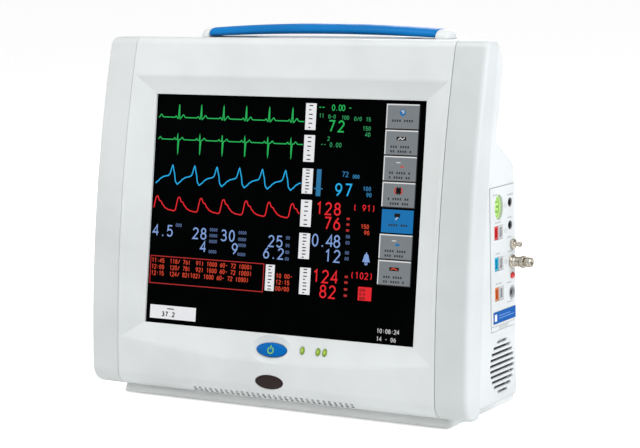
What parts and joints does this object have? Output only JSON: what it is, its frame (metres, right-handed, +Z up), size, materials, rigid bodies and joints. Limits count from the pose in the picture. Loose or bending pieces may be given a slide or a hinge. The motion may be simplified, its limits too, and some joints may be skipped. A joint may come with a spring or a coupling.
{
  "type": "patient monitor",
  "caption": "Bedside patient monitor with a tilted display in a bowed bezel, top handle, low plinth and a plug-in parameter module with connectors in its flank.",
  "frame": {"origin": "centre of the underside mounting plate's lower face", "axes": "+X to the viewer's right across the display, +Y to the back, +Z up"},
  "size_m": [0.455, 0.1648, 0.3737],
  "materials": {
    "front_case": "fine-textured moulded plastic, warm off-white",
    "cheek": "fine-textured moulded plastic, light grey",
    "rear_case": "fine-textured moulded plastic, cool white",
    "handle_blue": "satin moulded plastic, saturated blue",
    "button_blue": "semi-gloss moulded plastic",
    "display_glass": "dark display glass",
    "rubber": "matt black rubber",
    "sheet_metal": "plain formed sheet",
    "circuit_board": "solder-masked laminate",
    "lens_green": "translucent green lens",
    "ir_filter": "dark translucent window",
    "black_plastic": "moulded black plastic",
    "label_blue": "printed blue film",
    "cable": "flat ribbon",
    "cone_paper": "pressed paper",
    "socket_green": "moulded green insert",
    "socket_red": "moulded red insert",
    "socket_cyan": "moulded blue insert",
    "socket_orange": "moulded orange insert",
    "nickel": "nickel-plated brass",
    "screw_steel": "plated steel"
  },
  "bodies": {
    "housing": {"bay_backplane": "circuit_board", "button_dome": "rubber", "case_screw_lower_left": "screw_steel", "case_screw_lower_right": "screw_steel", "case_screw_upper_left": "screw_steel", "case_screw_upper_right": "screw_steel", "display_cable": "cable", "fan_frame": "black_plastic", "foot_front_left": "rubber", "foot_front_right": "rubber", "foot_rear_left": "rubber", "foot_rear_right": "rubber", "front_bezel": "front_case", "glass_gasket": "rubber", "handle_beam": "front_case", "handle_grip": "handle_blue", "handle_screw_left": "screw_steel", "handle_screw_right": "screw_steel", "heat_sink": "sheet_metal", "io_panel": "sheet_metal", "ir_window": "ir_filter", "lcd_chassis": "sheet_metal", "lcd_panel": "sheet_metal", "led_lens_battery_a": "lens_green", "led_lens_battery_b": "lens_green", "led_lens_mains": "lens_green", "left_cheek": "cheek", "main_board": "circuit_board", "module_bay": "sheet_metal", "mounting_plate": "sheet_metal", "network_port": "sheet_metal", "plinth": "front_case", "power_inlet": "black_plastic", "power_supply": "sheet_metal", "rear_housing": "rear_case", "right_cheek": "cheek", "speaker_frame": "sheet_metal", "switch_board": "circuit_board", "touch_glass": "display_glass", "video_port": "label_blue"},
    "module": {"module_case": "sheet_metal", "module_faceplate": "rear_case", "module_board": "circuit_board", "module_plug": "black_plastic", "ecg_socket": "socket_green", "temperature_jack_upper": "black_plastic", "temperature_jack_lower": "black_plastic", "pressure_socket": "socket_red", "oximetry_socket": "socket_cyan", "sensor_socket": "socket_orange", "sync_fitting": "nickel", "hose_fitting": "nickel", "round_port": "rear_case", "module_label": "label_blue"},
    "power_button": {"power_button": "button_blue"},
    "fan_rotor": {"fan_rotor": "black_plastic"},
    "speaker_cone": {"speaker_cone": "cone_paper"},
    "module_latch": {"module_latch": "rear_case"},
    "hose_collar": {"hose_collar": "nickel"},
    "hose_release": {"hose_release": "socket_red"}
  },
  "joints": [
    {"name": "power_button_press", "type": "slide", "parent": "housing", "child": "power_button", "axis": [0, 0.9406, -0.3394], "range_m": [0, 0.0015]},
    {"name": "fan_spin", "type": "hinge", "parent": "housing", "child": "fan_rotor", "pos_m": [-0.07, 0.0615, 0.0708], "axis": [0, 1, 0], "continuous": true},
    {"name": "speaker_cone_travel", "type": "slide", "parent": "housing", "child": "speaker_cone", "axis": [1, 0, 0], "range_m": [-0.0005, 0.0005]},
    {"name": "module_slide", "type": "slide", "parent": "housing", "child": "module", "axis": [1, 0, 0], "range_m": [0, 0.165]},
    {"name": "module_latch_press", "type": "slide", "parent": "module", "child": "module_latch", "axis": [-1, 0, 0], "range_m": [0, 0.002]},
    {"name": "hose_release_press", "type": "slide", "parent": "module", "child": "hose_release", "axis": [-1, 0, 0], "range_m": [0, 0.0015]},
    {"name": "hose_collar_slide", "type": "slide", "parent": "module", "child": "hose_collar", "axis": [1, 0, 0], "range_m": [0, 0.002]}
  ]
}
